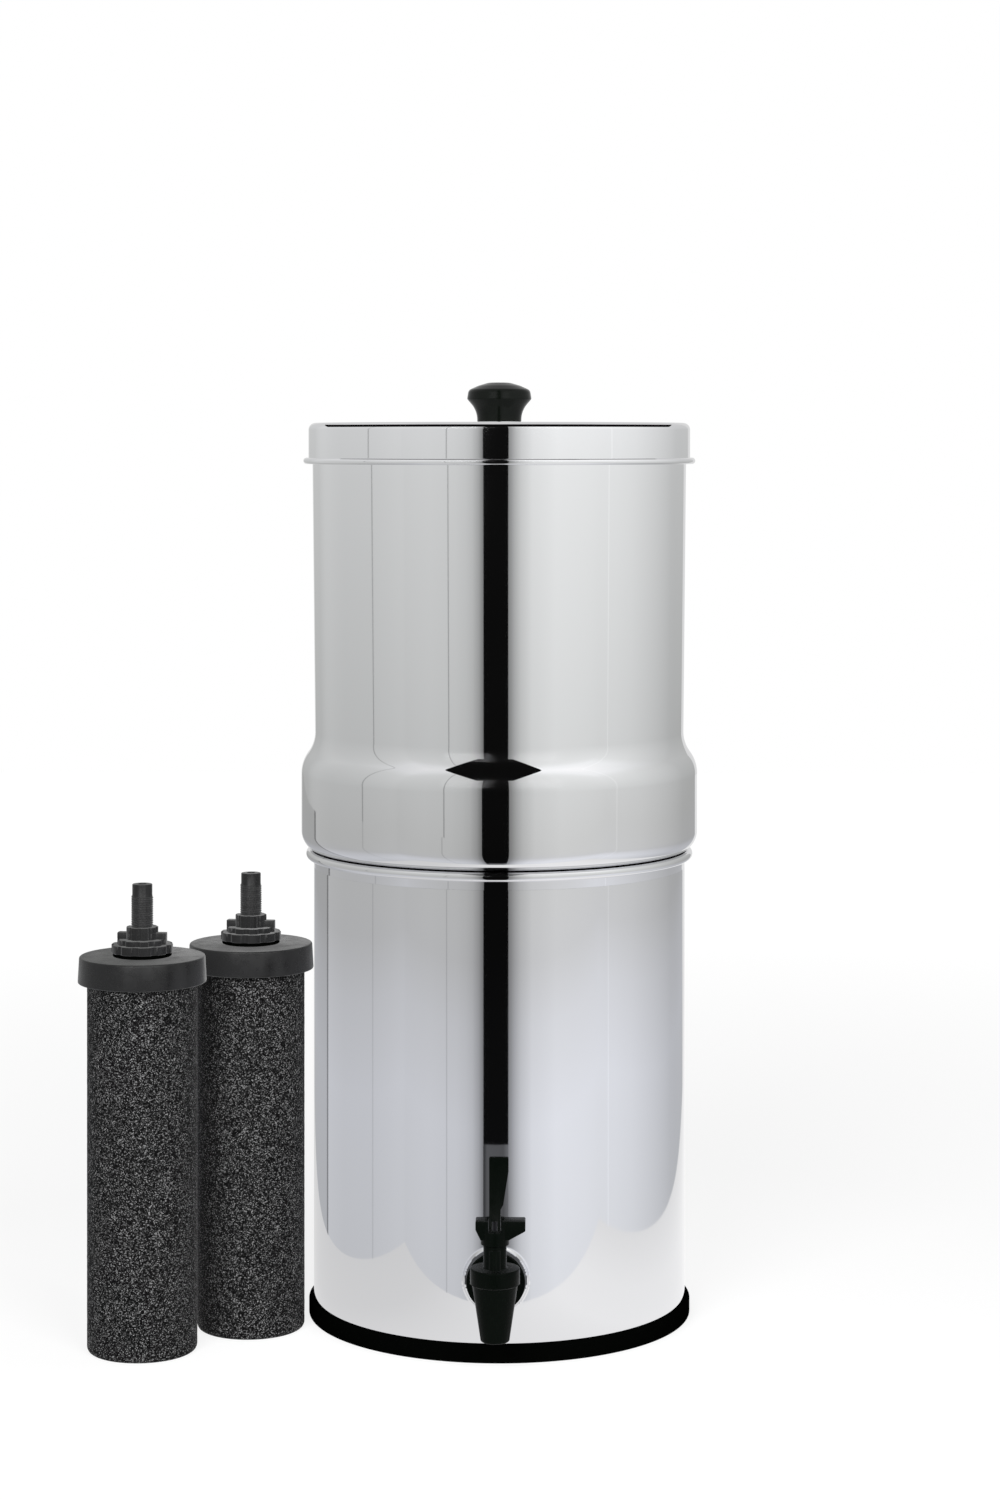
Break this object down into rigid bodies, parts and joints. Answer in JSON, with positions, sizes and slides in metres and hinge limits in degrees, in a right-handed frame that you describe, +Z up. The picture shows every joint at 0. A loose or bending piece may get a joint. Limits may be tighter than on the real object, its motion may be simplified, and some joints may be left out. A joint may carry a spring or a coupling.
{
  "type": "gravity water filter",
  "caption": "Two stacked polished steel chambers with a knobbed lid, a lever tap, and black threaded filter elements fitted inside and standing beside.",
  "frame": {"origin": "on the floor at the chambers' axis", "axes": "+Z up along the chambers' axis; the tap faces -Y; the loose filter elements stand on the -X side"},
  "size_m": [0.3487, 0.2627, 0.5407],
  "materials": {
    "polished_steel": "mirror polished stainless steel sheet",
    "brass": "turned brass",
    "steel_rod": "drawn stainless steel",
    "gloss_black": "polished black phenolic",
    "tap_plastic": "satin moulded black plastic",
    "matte_black": "matte moulded black plastic",
    "black_rubber": "smooth black rubber",
    "silicone": "pale silicone",
    "carbon": "pressed granular carbon, dark grey with bright grains"
  },
  "bodies": {
    "lower": {"lower_chamber": "polished_steel", "base_ring": "black_rubber", "tap_body": "tap_plastic", "tap_bonnet": "tap_plastic", "tap_outer_washer": "black_rubber", "tap_inner_washer": "black_rubber", "tap_shank_nut": "tap_plastic", "tap_spring": "steel_rod"},
    "valve": {"tap_valve_stem": "steel_rod", "tap_seat_cup": "silicone", "tap_lever_pin": "steel_rod"},
    "lever": {"tap_lever": "tap_plastic"},
    "upper": {"upper_chamber": "polished_steel", "fitted_element_right_carbon": "carbon", "fitted_element_right_end_cap": "matte_black", "fitted_element_right_seal": "black_rubber", "fitted_element_right_wing_nut": "matte_black", "fitted_element_left_carbon": "carbon", "fitted_element_left_end_cap": "matte_black", "fitted_element_left_seal": "black_rubber", "fitted_element_left_wing_nut": "matte_black", "blanking_plugs": "matte_black", "blanking_plug_seals": "black_rubber", "blanking_plug_nuts": "matte_black"},
    "cover": {"lid": "polished_steel", "lid_knob": "gloss_black", "knob_washer": "polished_steel", "knob_insert": "brass", "knob_screw": "polished_steel"},
    "near_element": {"near_element_carbon": "carbon", "near_element_end_cap": "matte_black", "near_element_seal": "black_rubber", "near_element_wing_nut": "matte_black"},
    "far_element": {"far_element_carbon": "carbon", "far_element_end_cap": "matte_black", "far_element_seal": "black_rubber", "far_element_wing_nut": "matte_black"}
  },
  "joints": [
    {"name": "lever_tilt", "type": "hinge", "parent": "valve", "child": "lever", "pos_m": [0, -0.134, 0.08245], "axis": [1, 0, 0], "range_deg": [0, 60]},
    {"name": "valve_lift", "type": "slide", "parent": "lower", "child": "valve", "axis": [0, 0, 1], "range_m": [0, 0.0035], "stiffness_N_per_m": 300, "springref_m": -0.01, "deforming": ["tap_spring"]},
    {"name": "upper_lift", "type": "slide", "parent": "lower", "child": "upper", "axis": [0, 0, 1], "range_m": [0, 0.1]},
    {"name": "lid_lift", "type": "slide", "parent": "upper", "child": "cover", "axis": [0, 0, 1], "range_m": [0, 0.1]},
    {"name": "near_element_move", "type": "slide", "parent": "lower", "child": "near_element", "axis": [-0.2588, 0.9659, 0], "range_m": [0, 0.15]},
    {"name": "far_element_lift", "type": "slide", "parent": "lower", "child": "far_element", "axis": [0, 0, 1], "range_m": [0, 0.3]}
  ],
  "couplings": [
    {"joint": "lever_tilt", "follows": "valve_lift", "rad_per_m": 299.19}
  ]
}
